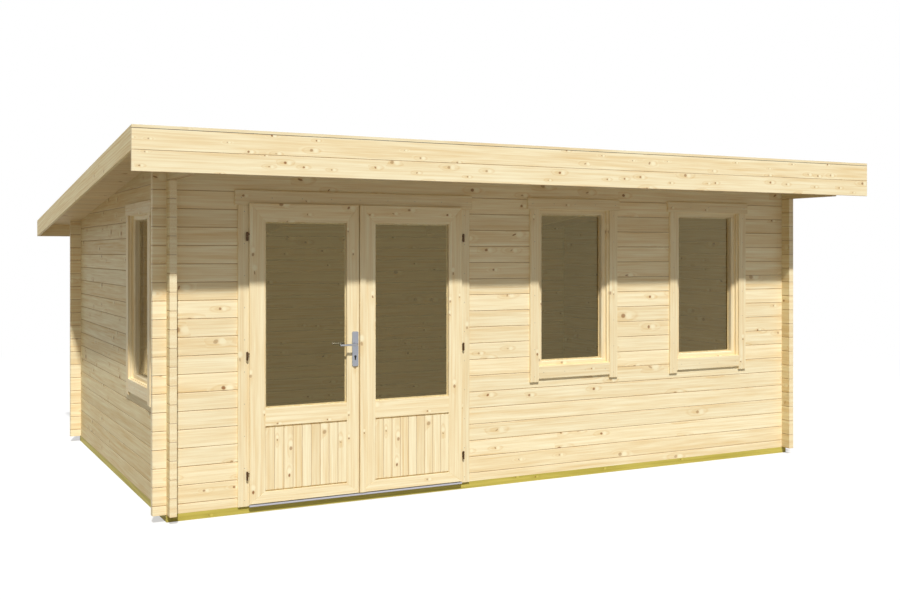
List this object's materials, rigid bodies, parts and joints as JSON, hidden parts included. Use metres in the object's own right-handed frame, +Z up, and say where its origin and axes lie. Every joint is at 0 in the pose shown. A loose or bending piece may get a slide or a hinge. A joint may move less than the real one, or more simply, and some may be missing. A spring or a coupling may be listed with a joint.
{
  "type": "log summerhouse",
  "caption": "Log summerhouse with a pent roof falling to the back, a half-glazed double door left of the middle, and tall windows in the front and left walls.",
  "frame": {"origin": "on the ground, at the middle of the roof's outline in plan", "axes": "+X runs along the front from left to right, the front faces -Y, +Z is up"},
  "size_m": [5.746, 4.16, 2.368],
  "materials": {
    "wall_logs": "planed, bare",
    "pine": "planed, bare",
    "joinery": "smooth planed, bare",
    "treated_pine": "sawn, pressure treated",
    "roof_felt": "mineral felt",
    "glass": "clear",
    "hinge_brown": "dark bronze lacquer",
    "handle_metal": "silver anodised",
    "threshold_metal": "mill"
  },
  "bodies": {
    "cabin": {"foundation_front_back_beams": "treated_pine", "foundation_side_beams": "treated_pine", "floor_joists": "treated_pine", "floor_boards": "pine", "front_wall_left": "wall_logs", "front_wall_over_door": "wall_logs", "front_wall_right": "wall_logs", "back_wall": "wall_logs", "left_wall": "wall_logs", "right_wall": "wall_logs", "rafters": "pine", "roof_boards": "pine", "roof_felt": "roof_felt", "front_fascia": "pine", "back_fascia": "pine", "side_fascias": "pine", "roof_edge_strips": "pine", "door_frame": "pine", "door_inner_casing": "pine", "door_side_casings": "pine", "door_head_casing": "pine", "door_threshold": "threshold_metal", "frame_hinges": "hinge_brown", "window_linings": "joinery", "window_sashes": "joinery", "window_panes": "glass", "window_side_casings": "pine", "window_head_casings": "pine", "window_aprons": "pine", "window_inner_casings": "pine"},
    "left_leaf": {"left_leaf_stiles": "joinery", "left_leaf_rails": "joinery", "left_leaf_panel": "joinery", "left_leaf_pane": "glass", "left_leaf_hinges": "hinge_brown", "handle_plates": "handle_metal"},
    "right_leaf": {"right_leaf_stiles": "joinery", "right_leaf_rails": "joinery", "right_leaf_panel": "joinery", "right_leaf_pane": "glass", "right_leaf_hinges": "hinge_brown", "meeting_cover_strip": "joinery"},
    "lever": {"lever_handle": "handle_metal"}
  },
  "joints": [
    {"name": "left_leaf_hinge", "type": "hinge", "parent": "cabin", "child": "left_leaf", "pos_m": [-2.052, -1.549, 1], "axis": [0, 0, -1], "range_deg": [0, 160]},
    {"name": "right_leaf_hinge", "type": "hinge", "parent": "cabin", "child": "right_leaf", "pos_m": [-0.5, -1.549, 1], "axis": [0, 0, 1], "range_deg": [0, 160]},
    {"name": "lever_turn", "type": "hinge", "parent": "left_leaf", "child": "lever", "pos_m": [-1.32, -1.534, 1.05], "axis": [0, -1, 0], "range_deg": [0, 40], "stiffness_Nm_per_rad": 1, "springref_deg": -20.05}
  ]
}
